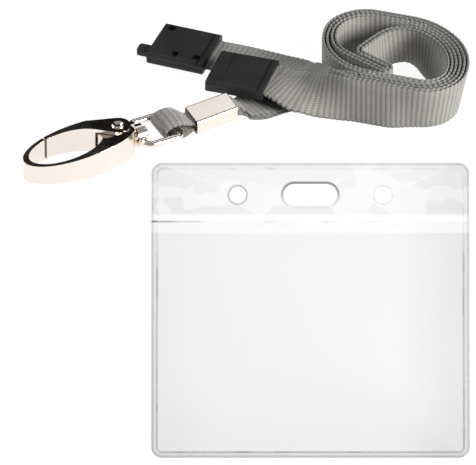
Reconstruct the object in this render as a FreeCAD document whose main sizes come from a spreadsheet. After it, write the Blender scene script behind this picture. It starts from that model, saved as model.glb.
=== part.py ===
import FreeCAD, Part
import math
import os
import re
import Sketcher
from FreeCAD import Placement, Rotation, Vector

# Clear vinyl badge wallet with its webbing lanyard: a coiled strap, an opened breakaway buckle,
# a crimp and a swivel hook. Millimetres, +Z up, standing on the plane Z = 0.

SIZES = {
    # wallet
    "wallet_width": 94.0,
    "wallet_height": 87.5,
    "wallet_corner": 3.2,
    "wallet_lean": 42.0,
    "wallet_x": 18.5,
    "wallet_y": -109.15,
    "sheet_thickness": 0.3,
    "pocket_gap": 0.6,
    "edge_weld_width": 1.8,
    "header_height": 15.8,
    "mouth_slit": 1.6,
    "throat_height": 2.8,
    "bead_width": 1.6,
    "bead_height": 0.25,
    "slot_length": 16.0,
    "slot_height": 6.6,
    "slot_drop": 9.5,
    "hole_diameter": 5.0,
    "hole_spread": 43.0,
    # webbing
    "strap_width": 16.0,
    "strap_thickness": 0.8,
    "layer_pitch": 1.25,
    # coil
    "lanyard_x": 45.8,
    "lanyard_y": 78.15,
    "lanyard_turn": -17.0,
    "coil_depth": 39.0,
    "coil_corner_radius": 12.5,
    "coil_back_run": 10.3,
    "coil_exit_run": 25.0,
    "crown_start": 74.0,
    "crown_turn": 84.0,
    "crown_radius": 10.0,
    "bend_radius": 2.4,
    "fold_slant": 22.0,
    "fold_run": 12.5,
    "tip_radius": 1.6,
    "return_radius": 13.0,
    # buckle
    "buckle_length": 18.6,
    "buckle_width": 18.0,
    "buckle_height": 4.0,
    "buckle_edge": 0.9,
    "strap_clearance": 0.25,
    "strap_grip": 8.5,
    "mouth_gap": 0.3,
    "lip_place": 1.6,
    "lip_groove": 0.6,
    "lip_depth": 0.3,
    "socket_x": -35.9,
    "socket_y": -14.4,
    "socket_rise": 4.6,
    "socket_nose": 4.9,
    "plug_x": -59.2,
    "plug_y": -0.2,
    "plug_turn": 176.5,
    "prong_length": 4.2,
    "prong_width": 4.0,
    "prong_height": 2.2,
    "prong_offset": 5.0,
    "prong_clearance": 0.2,
    "prong_seat": 6.0,
    "snap_length": 2.2,
    "snap_width": 2.4,
    "snap_depth": 1.0,
    # hook line: swivel, eye, strap loop and crimp
    "hook_x": -67.66,
    "hook_y": -50.4,
    "hook_turn": 224.0,
    "swivel_height": 3.8,
    "collar_diameter": 7.4,
    "collar_length": 2.4,
    "post_diameter": 3.0,
    "post_head_diameter": 4.6,
    "post_head_length": 1.2,
    "post_seat": 1.8,
    "running_clearance": 0.05,
    "swivel_gap": 0.3,
    "eye_wire": 2.2,
    "eye_width": 13.2,
    "eye_length": 12.0,
    "eye_corner": 2.2,
    "loop_clearance": 0.3,
    "loop_width": 10.0,
    "loop_run": 7.4,
    "loop_level": 1.0,
    "crimp_length": 12.1,
    "crimp_wall": 0.85,
    "crimp_edge": 0.8,
    "gathered_width": 6.6,
    "gathered_thickness": 1.6,
    "gathered_pitch": 1.7,
    "crimp_clearance": 0.05,
    # hook
    "hook_length": 37.4,
    "hook_width": 17.4,
    "hook_height": 8.6,
    "nose_height": 6.2,
    "hook_band": 2.0,
    "hub_length": 11.0,
    "pivot_place": 6.0,
    "pivot_offset": 1.5,
    "ear_thickness": 1.2,
    "ear_radius": 3.9,
    "ear_clearance": 0.2,
    "ear_room": 3.2,
    "gate_reach": 28.0,
    "gate_root": 13.4,
    "nose_gap": 0.9,
    "hub_gap": 0.5,
    "rivet_diameter": 3.0,
    "rivet_head_diameter": 3.8,
    "rivet_head_height": 0.35,
    "spring_diameter": 4.4,
    "spring_wire": 0.6,
    "spring_height": 3.0,
    "spring_clearance": 0.2,
    # cutting
    "overrun": 1.0,
}

# Hand-chosen routes of the free stretches of webbing: x, y, height, lean from upright in degrees.
# They lie in the lanyard's own frame, whose origin is the middle of the coil.
SOCKET_ROUTE = [
    (-20.0, -18.8, 8.0, 12.0),
    (-25.0, -17.9, 7.8, 36.0),
    (-29.4, -17.2, 7.75, 64.0),
    (-32.2, -16.0, 7.2, 84.0),
]
PLUG_ROUTE = [
    (-17.5, -17.4, 8.2, 5.0),
    (-21.0, -16.4, 8.7, 16.0),
    (-24.5, -14.8, 9.2, 32.0),
    (-28.0, -12.1, 8.0, 55.0),
    (-31.0, -9.6, 5.7, 70.0),
    (-34.0, -6.4, 3.9, 83.0),
    (-37.5, -3.8, 3.1, 90.0),
    (-43.0, -2.1, 2.7, 90.0),
    (-51.0, -0.8, 2.3, 90.0),
]
HOOK_LEG_ROUTE = [
    (-17.5, -15.5, 8.1, 4.0),
    (-21.0, -14.0, 7.95, 20.0),
    (-24.5, -11.7, 4.9, 60.0),
    (-27.5, -11.3, 2.2, 82.0),
    (-31.0, -12.6, 1.1, 90.0),
    (-35.0, -16.0, 1.1, 90.0),
    (-39.0, -21.4, 1.1, 90.0),
    (-42.0, -25.2, 1.8, 90.0),
]
HOOK_LEG_WIDTH_SHARES = [1.0, 1.0, 1.0, 1.0, 1.0, 1.0, 0.9, 0.66]

os.makedirs("parts", exist_ok=True)
doc = FreeCAD.newDocument("badge_wallet")
sheet = doc.addObject("Spreadsheet::Sheet", "sizes")
for row, (alias, number) in enumerate(SIZES.items(), start=1):
    sheet.set(f"A{row}", alias)
    sheet.set(f"B{row}", str(number))
    sheet.setAlias(f"B{row}", alias)
doc.recompute()

pieces = {}


def size(alias):
    return float(sheet.get(alias))


def bound(text):
    def in_sheet(word):
        return "sizes." + word.group() if word.group() in SIZES else word.group()
    return re.sub(r"[a-z_]+", in_sheet, text)


def value(text):
    return float(sheet.evalExpression(bound(text)))


def bind(item, **expressions):
    for path, text in expressions.items():
        item.setExpression(path.replace("__", "."), bound(text))
    return item


def keep(item, label, place):
    item.Label = label
    item.Placement = place
    pieces[label] = item
    return item


def keep_shape(label, shape, place):
    item = doc.addObject("Part::Feature", label)
    item.Shape = shape
    return keep(item, label, place)


# Part primitives whose sizes and corners are bound to the sheet

def stand(item, corner):
    x, y, z = corner
    return bind(item, Placement__Base__x=x, Placement__Base__y=y, Placement__Base__z=z)


def block(name, corner, extent):
    item = doc.addObject("Part::Box", name)
    bind(item, Length=extent[0], Width=extent[1], Height=extent[2])
    return stand(item, corner)


def drum(name, centre, radius, height, axis=Vector(0, 0, 1)):
    item = doc.addObject("Part::Cylinder", name)
    item.Placement = Placement(Vector(), Rotation(Vector(0, 0, 1), axis))
    bind(item, Radius=radius, Height=height)
    return stand(item, centre)


def oval_prism(name, centre, half_length, half_width, base, height):
    curve = doc.addObject("Part::Ellipse", name + "_curve")
    bind(curve, MajorRadius=half_length, MinorRadius=half_width)
    stand(curve, centre + (base,))
    return raised(name, curve, height)


def raised(name, outline, height):
    prism = doc.addObject("Part::Extrusion", name)
    prism.Base = outline
    prism.Dir = Vector(0, 0, 1)
    prism.DirMode = "Custom"
    prism.Solid = True
    return bind(prism, LengthFwd=height)


def fused(name, *items):
    item = doc.addObject("Part::MultiFuse", name)
    item.Shapes = list(items)
    item.Refine = True
    return item


def cut(name, base, *tools):
    for number, tool in enumerate(tools, start=1):
        item = doc.addObject("Part::Cut", f"{name}_{number}")
        item.Base = base
        item.Tool = tool
        item.Refine = True
        base = item
    return base


def common(name, base, tool):
    item = doc.addObject("Part::Common", name)
    item.Base = base
    item.Tool = tool
    return item


def rounded(name, base, alias, wanted):
    doc.recompute()
    item = doc.addObject("Part::Fillet", name)
    item.Base = base
    radius = size(alias)
    edges = [number for number, edge in enumerate(base.Shape.Edges, start=1) if wanted(edge)]
    item.Edges = [(number, radius, radius) for number in edges]
    return item


# PartDesign sheets: every outline is a constrained sketch

def new_sketch(body, name):
    sketch = body.newObject("Sketcher::SketchObject", name)
    plane = next(item for item in body.Origin.OriginFeatures if item.Role == "XY_Plane")
    sketch.AttachmentSupport = [(plane, "")]
    sketch.MapMode = "FlatFace"
    return sketch


def dimension(sketch, kind, geometry, vertex, text):
    index = sketch.addConstraint(Sketcher.Constraint(kind, -1, 1, geometry, vertex, value(text)))
    sketch.setExpression(f"Constraints[{index}]", bound(text))


def draw_rectangle(sketch, left, right, low, high):
    corners = [(left, low), (right, low), (right, high), (left, high)]
    points = [Vector(value(x), value(y), 0) for x, y in corners]
    first = sketch.GeometryCount
    for side in range(4):
        sketch.addGeometry(Part.LineSegment(points[side], points[(side + 1) % 4]))
    for side in range(4):
        sketch.addConstraint(Sketcher.Constraint("Coincident", first + side, 2, first + (side + 1) % 4, 1))
        level = "Horizontal" if side % 2 == 0 else "Vertical"
        sketch.addConstraint(Sketcher.Constraint(level, first + side))
    for side, (x, y) in ((0, corners[0]), (2, corners[2])):
        dimension(sketch, "DistanceX", first + side, 1, x)
        dimension(sketch, "DistanceY", first + side, 1, y)


def draw_circle(sketch, x, y, radius):
    circle = sketch.addGeometry(Part.Circle(Vector(value(x), value(y), 0), Vector(0, 0, 1), value(radius)))
    dimension(sketch, "DistanceX", circle, 3, x)
    dimension(sketch, "DistanceY", circle, 3, y)
    index = sketch.addConstraint(Sketcher.Constraint("Radius", circle, value(radius)))
    sketch.setExpression(f"Constraints[{index}]", bound(radius))


def pad_rectangle(body, name, outline, base, thickness):
    sketch = new_sketch(body, name + "_outline")
    draw_rectangle(sketch, *outline)
    bind(sketch, AttachmentOffset__Base__z=base)
    pad = body.newObject("PartDesign::Pad", name)
    pad.Profile = sketch
    bind(pad, Length=thickness)
    doc.recompute()
    return pad


def round_corners(body, name, radius, at_height=None):
    solid = body.Tip
    upright = []
    for number, edge in enumerate(solid.Shape.Edges, start=1):
        ends = [vertex.Point for vertex in edge.Vertexes]
        level = len(ends) == 2 and abs(ends[0].x - ends[1].x) + abs(ends[0].y - ends[1].y) < radius
        if level and abs(ends[0].z - ends[1].z) > 0 and (at_height is None or at_height(ends[0])):
            upright.append(f"Edge{number}")
    fillet = body.newObject("PartDesign::Fillet", name)
    fillet.Base = (solid, upright)
    fillet.Radius = radius
    doc.recompute()


def pocket_through(body, name, draw):
    before = body.Tip.Shape.Volume
    sketch = new_sketch(body, name + "_outline")
    draw(sketch)
    pocket = body.newObject("PartDesign::Pocket", name)
    pocket.Profile = sketch
    pocket.Type = "ThroughAll"
    pocket.Midplane = True
    doc.recompute()
    if not pocket.Shape.Volume < before:
        raise ValueError(name + " cut nothing")


SLOT_RADIUS = "slot_height / 2"
SLOT_LEVEL = "wallet_height - slot_drop"
SLOT_STRAIGHT = "(slot_length - slot_height) / 2"


def punch_header(body):
    for side, sign in (("left", "-"), ("right", "")):
        pocket_through(
            body, side + "_hole", lambda sketch: draw_circle(
                sketch, f"{sign}hole_spread / 2", SLOT_LEVEL, "hole_diameter / 2"))
        pocket_through(
            body, side + "_slot_end", lambda sketch: draw_circle(
                sketch, f"{sign}{SLOT_STRAIGHT}", SLOT_LEVEL, SLOT_RADIUS))
    pocket_through(
        body, "slot_middle", lambda sketch: draw_rectangle(
            sketch, f"-{SLOT_STRAIGHT}", SLOT_STRAIGHT,
            f"{SLOT_LEVEL} - {SLOT_RADIUS}", f"{SLOT_LEVEL} + {SLOT_RADIUS}"))


WALLET_LEFT = "-wallet_width / 2"
WALLET_RIGHT = "wallet_width / 2"
HEADER_LINE = "wallet_height - header_height"
MOUTH_LINE = "wallet_height - header_height - mouth_slit"
FRONT_LEVEL = "2 * sheet_thickness + pocket_gap"
wallet_place = Placement(
    Vector(size("wallet_x"), size("wallet_y"), 0),
    Rotation(Vector(1, 0, 0), value("90 - wallet_lean")))


def wallet_body(label):
    return keep(doc.addObject("PartDesign::Body", label), label, wallet_place)


def make_wallet():
    corner = size("wallet_corner")
    middle = value("wallet_height / 2")

    back = wallet_body("back_sheet")
    pad_rectangle(
        back, "back_plate", (WALLET_LEFT, WALLET_RIGHT, "0", "wallet_height"), "0", "sheet_thickness")
    round_corners(back, "back_corners", corner)
    punch_header(back)

    weld = wallet_body("edge_weld")
    pad_rectangle(
        weld, "weld_plate", (WALLET_LEFT, WALLET_RIGHT, "0", HEADER_LINE), "sheet_thickness", "pocket_gap")
    round_corners(weld, "weld_corners", corner, lambda point: point.y < middle)
    pocket_through(
        weld, "pocket_room", lambda sketch: draw_rectangle(
            sketch, f"{WALLET_LEFT} + edge_weld_width", f"{WALLET_RIGHT} - edge_weld_width",
            "edge_weld_width", "wallet_height"))

    window = wallet_body("front_window")
    pad_rectangle(
        window, "window_plate", (WALLET_LEFT, WALLET_RIGHT, "0", MOUTH_LINE),
        "sheet_thickness + pocket_gap", "sheet_thickness")
    round_corners(window, "window_corners", corner, lambda point: point.y < middle)

    header = wallet_body("header_strip")
    pad_rectangle(
        header, "header_plate", (WALLET_LEFT, WALLET_RIGHT, HEADER_LINE, "wallet_height"),
        "sheet_thickness", "sheet_thickness + pocket_gap")
    round_corners(header, "header_corners", corner, lambda point: point.y > value(HEADER_LINE) + corner)
    punch_header(header)

    lip = wallet_body("throat_lip")
    pad_rectangle(
        lip, "lip_plate",
        (f"{WALLET_LEFT} + bead_width", f"{WALLET_RIGHT} - bead_width",
         f"{MOUTH_LINE} - throat_height", MOUTH_LINE),
        FRONT_LEVEL, "bead_height")

    bead = wallet_body("rim_bead")
    pad_rectangle(
        bead, "bead_plate", (WALLET_LEFT, WALLET_RIGHT, "0", "wallet_height"), FRONT_LEVEL, "bead_height")
    round_corners(bead, "bead_corners", corner)
    pocket_through(
        bead, "bead_room", lambda sketch: draw_rectangle(
            sketch, f"{WALLET_LEFT} + bead_width", f"{WALLET_RIGHT} - bead_width",
            "bead_width", "wallet_height - bead_width"))


# Webbing

def direction(degrees):
    return Vector(math.cos(math.radians(degrees)), math.sin(math.radians(degrees)), 0)


class Route:
    """A plan line of straight runs and tangent arcs, followed from one end to the other."""

    def __init__(self, start, heading):
        self.point = start
        self.heading = heading
        self.runs = []

    def straight(self, length):
        self.runs.append(("line", self.point, self.heading, length))
        self.point = self.point + direction(self.heading) * length

    def turn(self, radius, angle):
        side = math.copysign(1, angle)
        centre = self.point + direction(self.heading + 90 * side) * radius
        self.runs.append(("arc", centre, radius, self.heading - 90 * side, angle))
        self.heading += angle
        self.point = centre + direction(self.heading - 90 * side) * radius

    def moved(self, run, offset, share):
        """The point at a share of one run, on the line that lies offset to the left of the route."""
        if run[0] == "line":
            _, start, heading, length = run
            return start + direction(heading) * (length * share) + direction(heading + 90) * offset
        _, centre, radius, begin, angle = run
        return centre + direction(begin + angle * share) * (radius - math.copysign(offset, angle * offset))

    def edges(self, offset):
        made = []
        for run in self.runs:
            first, middle, last = (self.moved(run, offset, share) for share in (0, 1 / 2, 1))
            curve = Part.LineSegment(first, last) if run[0] == "line" else Part.Arc(first, middle, last)
            made.append(curve.toShape())
        return made

    def samples(self, offset, steps):
        return [self.moved(run, offset, step / steps) for run in self.runs for step in range(steps)]

    def length(self, offset):
        return sum(edge.Length for edge in self.edges(offset))


def coil_route():
    """The middle line between the two strands, from the front run through the inner loop and back out."""
    pitch = size("layer_pitch")
    half = (size("coil_depth") - size("strap_thickness") - pitch) / 2
    tight = size("coil_corner_radius")
    wide = 2 * half - tight
    back = size("coil_back_run")
    front_x = (wide + back - tight) / 2
    first_lap, second_lap = 2 * pitch, 4 * pitch
    route = Route(Vector(front_x - size("coil_exit_run"), -half, 0), 0)
    route.straight(size("coil_exit_run"))
    route.turn(tight, 90)
    route.turn(wide, 90)
    route.straight(back)
    route.turn(tight, 90)
    route.turn(wide - second_lap, 90)
    route.straight(back + second_lap)
    route.turn(tight - second_lap, 90)
    route.turn(wide - second_lap, size("crown_start"))
    route.turn(size("crown_radius"), size("crown_turn"))

    # The inner loop bends on to a fold along the front, whose other side curves back to the left end.
    return_turn = 90 - size("fold_slant")
    homing = Route(Vector(front_x - wide - back + first_lap, half - tight, 0), 270)
    homing.turn(size("return_radius"), return_turn)
    ahead = direction(route.heading)
    beside = direction(homing.heading)
    apart = homing.point + direction(homing.heading + 90) * (2 * size("tip_radius")) - route.point
    spread = ahead.x * beside.y - ahead.y * beside.x
    leg = (apart.x * beside.y - apart.y * beside.x) / spread
    past = (apart.x * ahead.y - apart.y * ahead.x) / spread
    bend = (homing.heading - route.heading) % 360
    tangent = size("bend_radius") * math.tan(math.radians(bend / 2))
    route.straight(leg - tangent)
    route.turn(size("bend_radius"), bend)
    route.straight(size("fold_run") - past - tangent)
    route.turn(size("tip_radius"), -180)
    route.straight(size("fold_run"))
    route.turn(size("return_radius"), -return_turn)
    route.turn(tight - first_lap, -90)
    route.straight(back)
    route.turn(wide - first_lap, -90)
    route.turn(tight - first_lap, -90)
    route.straight(size("coil_exit_run"))
    return route


def wound_band(route, offset):
    half = size("strap_thickness") / 2
    left = route.edges(offset + half)
    right = route.edges(offset - half)
    caps = []
    for run, share in ((route.runs[0], 0), (route.runs[-1], 1)):
        sides = [route.moved(run, offset + side, share) for side in (-half, half)]
        caps.append(Part.LineSegment(*sides).toShape())
    outline = Part.Wire(left + caps[1:] + right[::-1] + caps[:1])
    return Part.Face(outline).extrude(Vector(0, 0, size("strap_width")))


def least_gap(points):
    """Least clear distance of a strand to itself, on points further apart than the tip's own bend."""
    apart = size("tip_radius") * math.pi
    travel = [0.0]
    for first, second in zip(points, points[1:]):
        travel.append(travel[-1] + first.distanceToPoint(second))
    gaps = [
        first.distanceToPoint(second)
        for a, first in enumerate(points)
        for b, second in enumerate(points[:a])
        if travel[a] - travel[b] > apart
    ]
    return min(gaps) - size("strap_thickness")


def ribbon(stations):
    """A twisting flat strap through stations of centre, heading, lean, width, thickness and offset."""
    sections = []
    for centre, heading, lean, width, thickness, offset in stations:
        along = direction(heading)
        beside = direction(heading - 90)
        tilt = math.radians(lean)
        across = Vector(0, 0, math.cos(tilt)) + beside * math.sin(tilt)
        outward = across.cross(along)
        middle = centre + outward * offset
        corners = [
            middle + across * (width / 2 * a) + outward * (thickness / 2 * b)
            for a, b in ((-1, -1), (1, -1), (1, 1), (-1, 1))
        ]
        sections.append(Part.makePolygon(corners + corners[:1]))
    return Part.makeLoft(sections, True, True)


def headings(points, first, last):
    between = [
        math.degrees(math.atan2(after.y - before.y, after.x - before.x)) % 360
        for before, after in zip(points, points[2:])
    ]
    return [first] + between + [last]


lanyard_place = Placement(
    Vector(size("lanyard_x"), size("lanyard_y"), 0), Rotation(Vector(0, 0, 1), size("lanyard_turn")))
socket_place = lanyard_place * Placement(
    Vector(size("socket_x"), size("socket_y"), 0), Rotation(Vector(0, 0, 1), 180))
plug_place = lanyard_place * Placement(
    Vector(size("plug_x"), size("plug_y"), 0), Rotation(Vector(0, 0, 1), size("plug_turn")))
hook_in_lanyard = Placement(
    Vector(size("hook_x"), size("hook_y"), 0), Rotation(Vector(0, 0, 1), size("hook_turn")))
hook_place = lanyard_place * hook_in_lanyard

SOCKET_MIDDLE = "socket_rise + buckle_height / 2"
PLUG_MIDDLE = "buckle_height / 2"
LOOP_END = "eye_length + loop_run"
CRIMP_HEIGHT = "gathered_thickness + gathered_pitch + 2 * (crimp_clearance + crimp_wall)"
CRIMP_MIDDLE = f"({CRIMP_HEIGHT}) / 2"


def make_coil():
    route = coil_route()
    offset = size("layer_pitch") / 2
    for label, side in (("coil_strand_outer", -offset), ("coil_strand_inner", offset)):
        shape = wound_band(route, side)
        keep_shape(label, shape, lanyard_place)
        points = route.samples(side, 12)
        wanted = route.length(side) * size("strap_thickness") * size("strap_width")
        print(label, "length %.1f mm" % route.length(side), "least gap %.2f mm" % least_gap(points))
        print(label, "volume %.1f of %.1f mm3" % (shape.Volume, wanted))


def make_tail(label, route, start, end, end_heading):
    width, thickness = size("strap_width"), size("strap_thickness")
    middle = [(Vector(x, y, height), lean) for x, y, height, lean in route]
    points = [start] + [point for point, lean in middle] + [end]
    leans = [0] + [lean for point, lean in middle] + [90]
    turns = headings(points, 180, end_heading)
    shape = ribbon([(p, h, lean, width, thickness, 0) for p, h, lean in zip(points, turns, leans)])
    keep_shape(label, shape, lanyard_place)
    run = sum(a.distanceToPoint(b) for a, b in zip(points, points[1:]))
    print(label, "length %.1f mm" % run, "volume %.1f of %.1f mm3" % (shape.Volume, run * width * thickness))


def make_tails():
    route = coil_route()
    pitch = size("layer_pitch")
    exit_x = route.runs[0][1].x
    front_y = route.runs[0][1].y
    half_width = size("strap_width") / 2
    socket_end = Vector(size("socket_x") + size("mouth_gap"), size("socket_y"), value(SOCKET_MIDDLE))
    make_tail("socket_tail", SOCKET_ROUTE, Vector(exit_x, front_y - pitch / 2, half_width), socket_end, 180)
    backward = direction(size("plug_turn") + 180) * size("mouth_gap")
    plug_end = Vector(size("plug_x"), size("plug_y"), value(PLUG_MIDDLE)) + backward
    make_tail(
        "plug_tail", PLUG_ROUTE, Vector(exit_x, front_y + pitch / 2, half_width), plug_end, size("plug_turn"))

    near = hook_in_lanyard.multVec(Vector(-value(f"{LOOP_END} + crimp_length"), 0, value(CRIMP_MIDDLE)))
    far = hook_in_lanyard.multVec(Vector(-value(LOOP_END), 0, value(CRIMP_MIDDLE)))
    start = Vector(exit_x, route.point.y, half_width)
    points = [start] + [Vector(x, y, height) for x, y, height, lean in HOOK_LEG_ROUTE] + [near, far]
    leans = [0] + [lean for x, y, height, lean in HOOK_LEG_ROUTE] + [90, 90]
    widths = [1] + HOOK_LEG_WIDTH_SHARES
    widths = [size("strap_width") * share for share in widths] + [size("gathered_width")] * 2
    thick = [size("strap_thickness")] * (len(points) - 2) + [size("gathered_thickness")] * 2
    pitches = [pitch] * (len(points) - 2) + [size("gathered_pitch")] * 2
    turns = headings(points, 180, size("hook_turn"))
    turns[-2] = size("hook_turn")
    for label, side in (("hook_leg_upper", 1), ("hook_leg_lower", -1)):
        stations = zip(points, turns, leans, widths, thick, [side * step / 2 for step in pitches])
        shape = ribbon(stations)
        keep_shape(label, shape, lanyard_place)
        print(label, "volume %.1f mm3" % shape.Volume)


def make_strap_loop():
    thickness = size("strap_thickness")
    eye = -size("eye_length")
    inner = value("eye_wire / 2 + loop_clearance")
    outer = inner + thickness
    level = size("swivel_height")
    crimp = -value(LOOP_END)
    flat = eye - size("loop_level")
    middle = value(CRIMP_MIDDLE)
    half_pitch = value("gathered_pitch / 2")

    def side(radius, rise):
        up = Vector(crimp, 0, middle + rise)
        low = Vector(crimp, 0, middle - rise)
        points = [up, Vector(flat, 0, level + radius), Vector(eye, 0, level + radius)]
        ends = [Vector(eye, 0, level - radius), Vector(flat, 0, level - radius), low]
        edges = [Part.LineSegment(a, b).toShape() for a, b in zip(points, points[1:])]
        edges.append(Part.Arc(points[-1], Vector(eye + radius, 0, level), ends[0]).toShape())
        edges += [Part.LineSegment(a, b).toShape() for a, b in zip(ends, ends[1:])]
        return edges, up, low

    outside, out_up, out_low = side(outer, half_pitch + thickness / 2)
    inside, in_up, in_low = side(inner, half_pitch - thickness / 2)
    caps = [Part.LineSegment(out_low, in_low).toShape(), Part.LineSegment(in_up, out_up).toShape()]
    outline = Part.Wire(outside + caps[:1] + inside[::-1] + caps[1:])
    wide = size("strap_width")
    band = Part.Face(outline).extrude(Vector(0, wide, 0))
    band.translate(Vector(0, -wide / 2, 0))
    half_loop = size("loop_width") / 2
    half_crimp = size("gathered_width") / 2
    front = eye + outer + size("overrun")
    fan = [(front, half_loop), (flat, half_loop), (crimp, half_crimp)]
    corners = [Vector(x, y, 0) for x, y in fan] + [Vector(x, -y, 0) for x, y in fan[::-1]]
    plan = Part.Face(Part.makePolygon(corners + corners[:1]))
    keep_shape("strap_loop", band.common(plan.extrude(Vector(0, 0, level + wide))), hook_place)


def make_crimp():
    width = "gathered_width + 2 * (crimp_clearance + crimp_wall)"
    start = f"-({LOOP_END} + crimp_length)"
    shell = block("crimp_block", (start, f"-({width}) / 2", "0"), ("crimp_length", width, CRIMP_HEIGHT))
    length = size("crimp_length")
    shell = rounded(
        "crimp_rounded", shell, "crimp_edge",
        lambda edge: abs(edge.Vertexes[0].X - edge.Vertexes[-1].X) > length / 2)
    bore = block(
        "crimp_bore", (f"{start} - overrun", "-(gathered_width / 2 + crimp_clearance)", "crimp_wall"),
        ("crimp_length + 2 * overrun", "gathered_width + 2 * crimp_clearance",
         f"{CRIMP_HEIGHT} - 2 * crimp_wall"))
    keep(cut("crimp_tube", shell, bore), "crimp_ferrule", hook_place)


# Breakaway buckle: each half is a base and a lid that close on the end of the strap

def upright_edge(edge):
    return len(edge.Vertexes) == 2 and abs(edge.Vertexes[0].Z - edge.Vertexes[1].Z) > size("buckle_edge")


def outer_long_edge(level):
    def wanted(edge):
        ends = edge.Vertexes
        flat = len(ends) == 2 and abs(ends[0].Z - ends[1].Z) < size("lip_depth")
        along = abs(ends[0].Y - ends[-1].Y) < size("lip_depth")
        return flat and along and abs(ends[0].Z - level) < size("lip_depth")
    return wanted


def half_block(name, start, length, base, height, level):
    shell = block(name, (start, "-buckle_width / 2", base), (length, "buckle_width", height))
    return rounded(name + "_rounded", shell, "buckle_edge", outer_long_edge(value(level)))


def strap_channel(name, middle):
    return block(
        name,
        ("-overrun", "-(strap_width / 2 + strap_clearance)",
         f"{middle} - strap_thickness / 2 - strap_clearance"),
        ("overrun + strap_grip + strap_clearance", "strap_width + 2 * strap_clearance",
         "strap_thickness + 2 * strap_clearance"))


def strap_end(label, middle, place):
    outline = doc.addObject("Part::Plane", label + "_outline")
    bind(outline, Length="strap_grip", Width="strap_width")
    stand(outline, ("0", "-strap_width / 2", f"{middle} - strap_thickness / 2"))
    keep(raised(label + "_strip", outline, "strap_thickness"), label, place)


def lip_groove(name, top):
    return block(
        name, ("lip_place", "-buckle_width / 2 - overrun", f"{top} - lip_depth"),
        ("lip_groove", "buckle_width + 2 * overrun", "lip_depth + overrun"))


def prong_room(name, middle):
    return block(
        name,
        ("buckle_length - prong_seat", "-prong_offset - prong_width / 2 - prong_clearance",
         f"{middle} - prong_height / 2 - prong_clearance"),
        ("prong_seat + overrun", "prong_width + 2 * prong_clearance", "prong_height + 2 * prong_clearance"))


def make_socket():
    middle = SOCKET_MIDDLE
    top = "socket_rise + buckle_height"
    base = half_block("socket_floor", "0", "buckle_length", "socket_rise", "buckle_height / 2", "socket_rise")
    nose = half_block(
        "socket_nose_block", "buckle_length - socket_nose", "socket_nose", middle, "buckle_height / 2", top)
    whole = fused("socket_floor_nose", base, nose)
    rooms = [strap_channel("socket_floor_channel", middle), prong_room("floor_prong_room", middle)]
    keep(cut("socket_base_cut", whole, *rooms), "socket_base", socket_place)

    lid = half_block("socket_roof", "0", "buckle_length - socket_nose", middle, "buckle_height / 2", top)
    rooms = [
        strap_channel("socket_roof_channel", middle),
        lip_groove("socket_lip_groove", top),
        prong_room("roof_prong_room", middle),
    ]
    keep(cut("socket_lid_cut", lid, *rooms), "socket_lid", socket_place)
    strap_end("socket_strap_end", middle, socket_place)


SNAP_PLACE_SHARES = [(0.18, 0.32), (0.55, 0.34), (0.86, -0.36)]


def make_plug():
    middle = PLUG_MIDDLE
    top = "buckle_height"
    floor = half_block("plug_floor", "0", "buckle_length", "0", "buckle_height / 2", "0")
    prong = block(
        "plug_prong",
        ("buckle_length - prong_seat", "prong_offset - prong_width / 2", f"{middle} - prong_height / 2"),
        ("prong_seat + prong_length", "prong_width", "prong_height"))
    prong = rounded("plug_prong_rounded", prong, "buckle_edge", lambda edge: (
        upright_edge(edge) and edge.Vertexes[0].X > size("buckle_length")))
    whole = fused("plug_floor_prong", floor, prong)
    keep(cut("plug_base_cut", whole, strap_channel("plug_floor_channel", middle)), "plug_base", plug_place)

    lid = half_block("plug_roof", "0", "buckle_length", middle, "buckle_height / 2", top)
    groove = lip_groove("plug_lip_groove", top)
    root_room = block(
        "prong_root_room",
        ("buckle_length - prong_seat", "prong_offset - prong_width / 2", f"{middle} - prong_height / 2"),
        ("prong_seat + overrun", "prong_width", "prong_height"))
    snaps = [
        block(f"snap_window_{number}",
              (f"buckle_length * {along} - snap_length / 2", f"buckle_width * {beside} - snap_width / 2",
               f"{top} - snap_depth"),
              ("snap_length", "snap_width", "snap_depth + overrun"))
        for number, (along, beside) in enumerate(SNAP_PLACE_SHARES, start=1)
    ]
    lid = cut("plug_lid_cut", lid, strap_channel("plug_roof_channel", middle), groove, root_room, *snaps)
    keep(lid, "plug_lid", plug_place)
    strap_end("plug_strap_end", middle, plug_place)


# Swivel and hook

def make_eye():
    forward = Vector(1, 0, 0)
    collar = drum(
        "eye_collar", ("-collar_length / 2", "0", "swivel_height"),
        "collar_diameter / 2", "collar_length", forward)
    bore = drum(
        "eye_bore", ("-collar_length / 2 - overrun", "0", "swivel_height"),
        "post_diameter / 2 + running_clearance", "collar_length + 2 * overrun", forward)
    length, half, corner = size("eye_length"), size("eye_width") / 2, size("eye_corner")
    height = size("swivel_height")
    sides = rounded_loop(-length, 0, half, corner, height)
    circle = Part.Circle(Vector(-length / 2, -half, height), Vector(1, 0, 0), size("eye_wire") / 2)
    section = Part.Wire(circle.toShape())
    ring = doc.addObject("Part::Feature", "eye_ring")
    ring.Shape = sides.makePipeShell([section], True, False)
    keep(cut("eye_cut", fused("eye_whole", collar, ring), bore), "swivel_eye", hook_place)


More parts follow.
